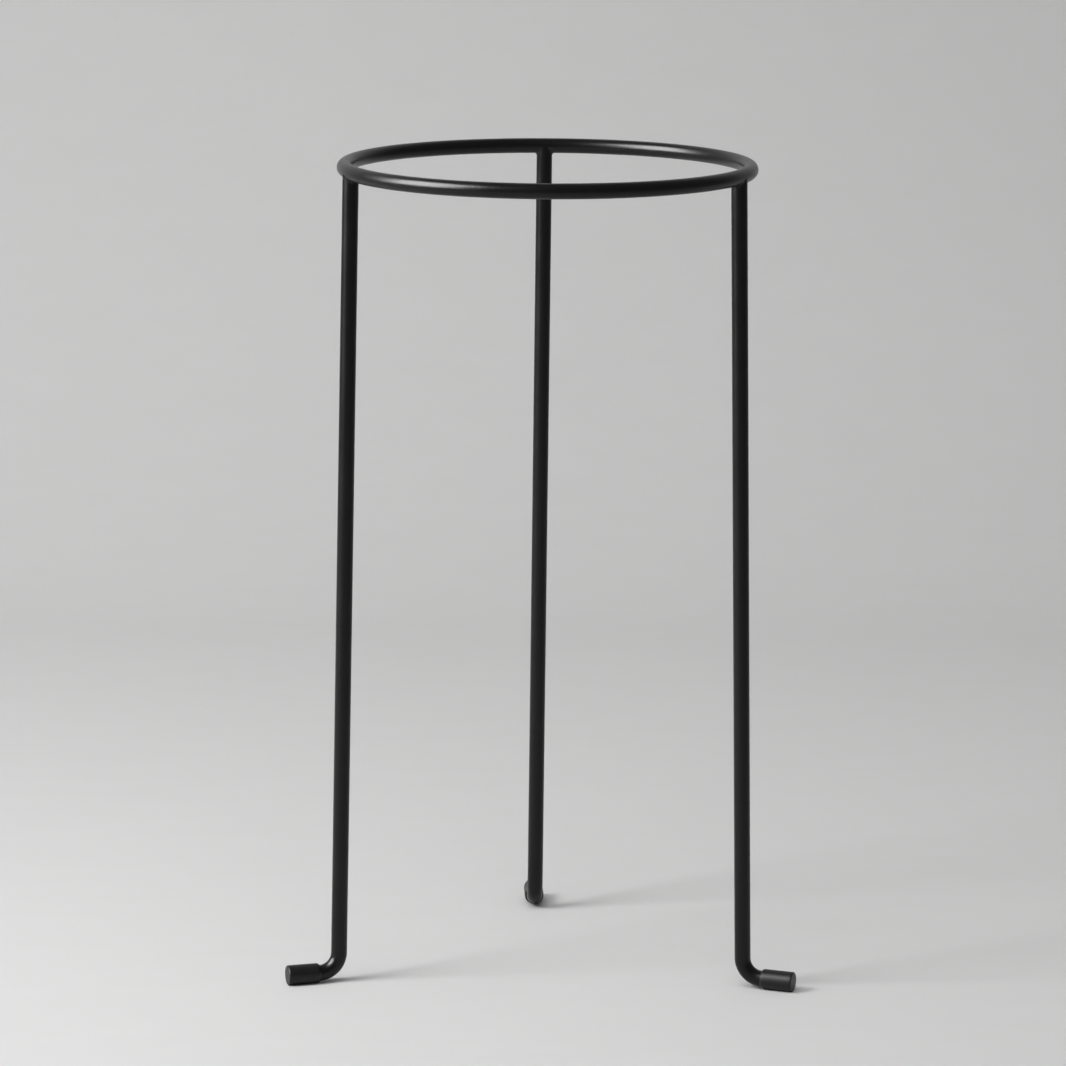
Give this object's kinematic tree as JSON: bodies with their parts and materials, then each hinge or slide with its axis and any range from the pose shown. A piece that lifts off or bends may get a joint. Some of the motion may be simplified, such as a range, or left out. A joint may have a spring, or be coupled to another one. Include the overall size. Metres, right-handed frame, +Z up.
{
  "type": "plant stand",
  "caption": "Tall slim plant stand: a round rod ring holds a flower pot by its rim, on splayed rod legs whose short bent feet wear push-on caps.",
  "frame": {"origin": "on the floor, under the centre of the ring", "axes": "+Z up along the ring's axis; -Y towards the front, where no leg stands; +X to the right seen from the front"},
  "size_m": [0.2555, 0.2375, 0.41],
  "materials": {
    "rod_steel": "satin black powder coat",
    "weld_steel": "satin black powder coat over the weld",
    "foot_rubber": "smooth semi-matt black"
  },
  "bodies": {
    "root": {"ring": "rod_steel", "left_leg": "rod_steel", "right_leg": "rod_steel", "rear_leg": "rod_steel", "left_weld": "weld_steel", "right_weld": "weld_steel", "rear_weld": "weld_steel", "left_foot_cap": "foot_rubber", "right_foot_cap": "foot_rubber", "rear_foot_cap": "foot_rubber"}
  },
  "joints": []
}
